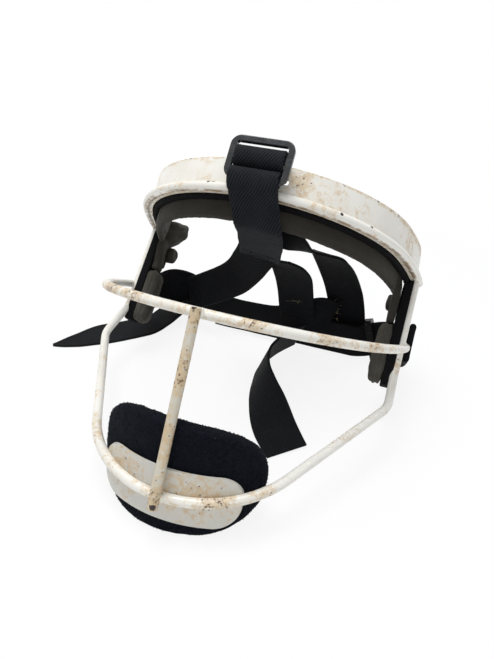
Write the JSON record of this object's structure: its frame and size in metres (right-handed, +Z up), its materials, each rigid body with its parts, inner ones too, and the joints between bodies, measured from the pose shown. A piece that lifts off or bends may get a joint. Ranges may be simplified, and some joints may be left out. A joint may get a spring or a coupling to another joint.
{
  "type": "softball face guard",
  "caption": "Open steel face guard with a padded forehead band, a curved cheek bar, a centre bar, a padded chin plate and slack webbing straps, standing on its chin pad.",
  "frame": {"origin": "on the table, straight below the point midway between the cheek bar's two tips", "axes": "+X is the guard's left-hand side as the wearer has it, which is to the right in a view of its front; -Y is its front; +Z is up as it stands on the table"},
  "size_m": [0.2362, 0.1974, 0.1583],
  "materials": {
    "white_enamel": "off-white enamel on steel, chipped and rust-freckled",
    "worn_enamel": "off-white enamel, in the shade of the guard",
    "foam": "black closed-cell foam",
    "lining": "dark grey brushed lining",
    "hook_strip": "black hook tape",
    "felt": "dark blue-black brushed felt",
    "buckle_plastic": "dark grey moulded plastic",
    "webbing": "black woven polypropylene webbing"
  },
  "bodies": {
    "guard": {"rim_wire": "white_enamel", "forehead_band": "white_enamel", "jaw_wire": "white_enamel", "cheek_bar": "white_enamel", "centre_bar": "white_enamel", "chin_plate": "worn_enamel", "side_plate_left": "white_enamel", "side_plate_right": "white_enamel", "forehead_foam": "foam", "forehead_lining": "lining", "temple_pad_left": "lining", "temple_pad_right": "lining", "side_foam_left": "foam", "side_foam_right": "foam", "side_lining_left": "lining", "side_lining_right": "lining", "ear_bump_left": "lining", "ear_bump_right": "lining", "cheek_cushion_left": "lining", "cheek_cushion_right": "lining", "chin_hook_strip": "hook_strip", "chin_pad": "felt", "buckle_loop": "webbing", "top_strap": "webbing", "yoke_left": "webbing", "yoke_right": "webbing", "twisted_strap": "webbing", "rear_strap": "webbing", "overlap_strap": "webbing", "strap_keeper": "buckle_plastic"},
    "buckle": {"top_buckle": "buckle_plastic"},
    "tab_left": {"strap_tab_left": "webbing"},
    "tab_right": {"strap_tab_right": "webbing"},
    "tail_left": {"left_tail": "webbing"},
    "tail_right": {"right_tail": "webbing"}
  },
  "joints": [
    {"name": "buckle_tilt", "type": "hinge", "parent": "guard", "child": "buckle", "pos_m": [0.004, -0.04062, 0.14996], "axis": [1, 0, 0], "range_deg": [-3, 3]},
    {"name": "strap_tab_left_swing", "type": "hinge", "parent": "guard", "child": "tab_left", "pos_m": [-0.091, 0.01308, 0.03326], "axis": [0, 0.723, 0.6909], "range_deg": [-10, 10]},
    {"name": "strap_tab_right_swing", "type": "hinge", "parent": "guard", "child": "tab_right", "pos_m": [0.091, 0.01308, 0.03326], "axis": [0, 0.723, 0.6909], "range_deg": [-10, 10]},
    {"name": "left_tail_lift", "type": "hinge", "parent": "guard", "child": "tail_left", "pos_m": [-0.0728, 0.038, 0.0088], "axis": [-0.7779, 0.6283, 0], "range_deg": [0, 12]},
    {"name": "right_tail_lift", "type": "hinge", "parent": "guard", "child": "tail_right", "pos_m": [0.0223, 0.0275, 0.013], "axis": [-0.9798, -0.2, 0], "range_deg": [0, 12]}
  ]
}
